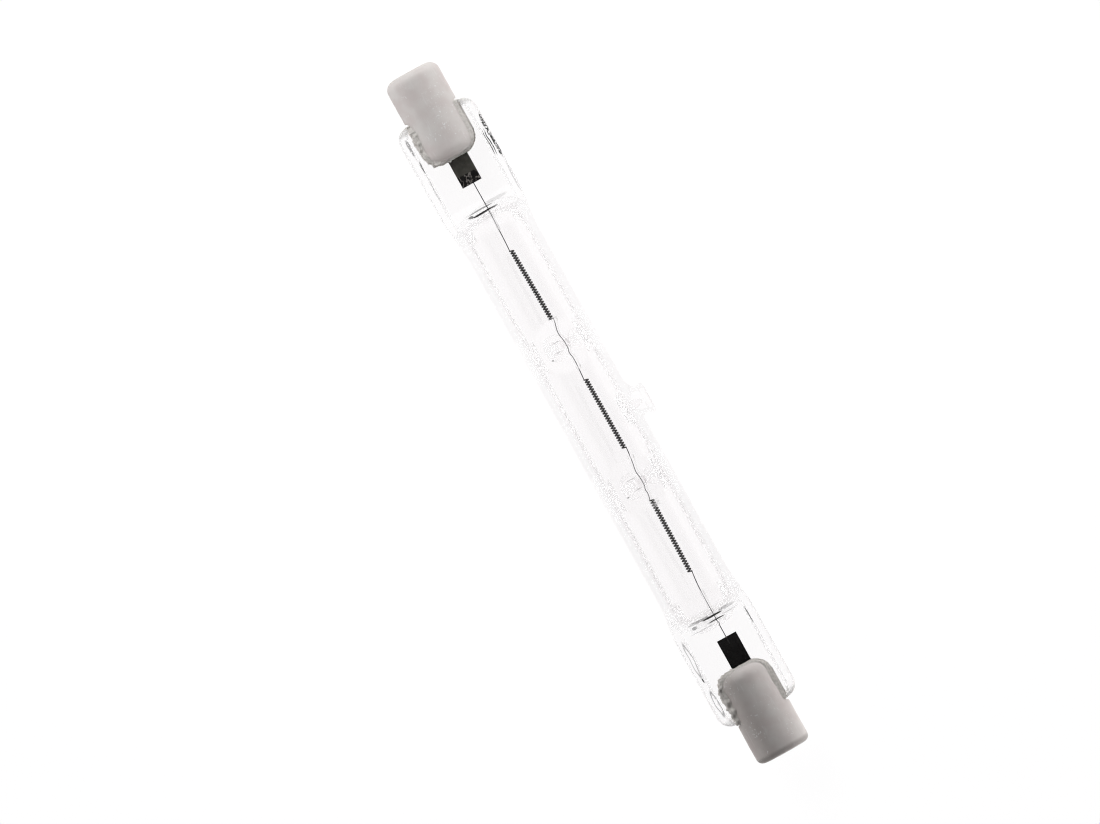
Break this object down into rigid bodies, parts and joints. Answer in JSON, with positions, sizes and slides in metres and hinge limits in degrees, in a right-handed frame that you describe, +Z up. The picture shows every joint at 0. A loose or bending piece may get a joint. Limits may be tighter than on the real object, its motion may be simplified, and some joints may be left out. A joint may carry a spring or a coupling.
{
  "type": "linear halogen bulb",
  "caption": "Double-ended linear halogen lamp: clear quartz tube with flat pinch seals, coiled filament, side exhaust tip and slotted ceramic end caps.",
  "frame": {"origin": "on the table under the middle of the lamp's bounding box, where the lamp lies at rest", "axes": "+X along the lamp to the end that is at the lower right in the picture; +Z up; the exhaust tip points to +Y and down to the table; the lamp's own axis runs 5.95 mm above the table"},
  "size_m": [0.1176, 0.0146, 0.0119],
  "materials": {
    "quartz": "polished",
    "tungsten": "satin",
    "molybdenum": "satin",
    "lead_wire": "satin",
    "contact_metal": "satin",
    "cap_ceramic": "matte",
    "cap_cement": "matte"
  },
  "bodies": {
    "root": {"quartz_envelope": "quartz", "tungsten_filament": "tungsten", "molybdenum_foil_left": "molybdenum", "outer_lead_left": "lead_wire", "contact_left": "contact_metal", "ceramic_cap_left": "cap_ceramic", "cement_left": "cap_cement", "molybdenum_foil_right": "molybdenum", "outer_lead_right": "lead_wire", "contact_right": "contact_metal", "ceramic_cap_right": "cap_ceramic", "cement_right": "cap_cement"}
  },
  "joints": []
}
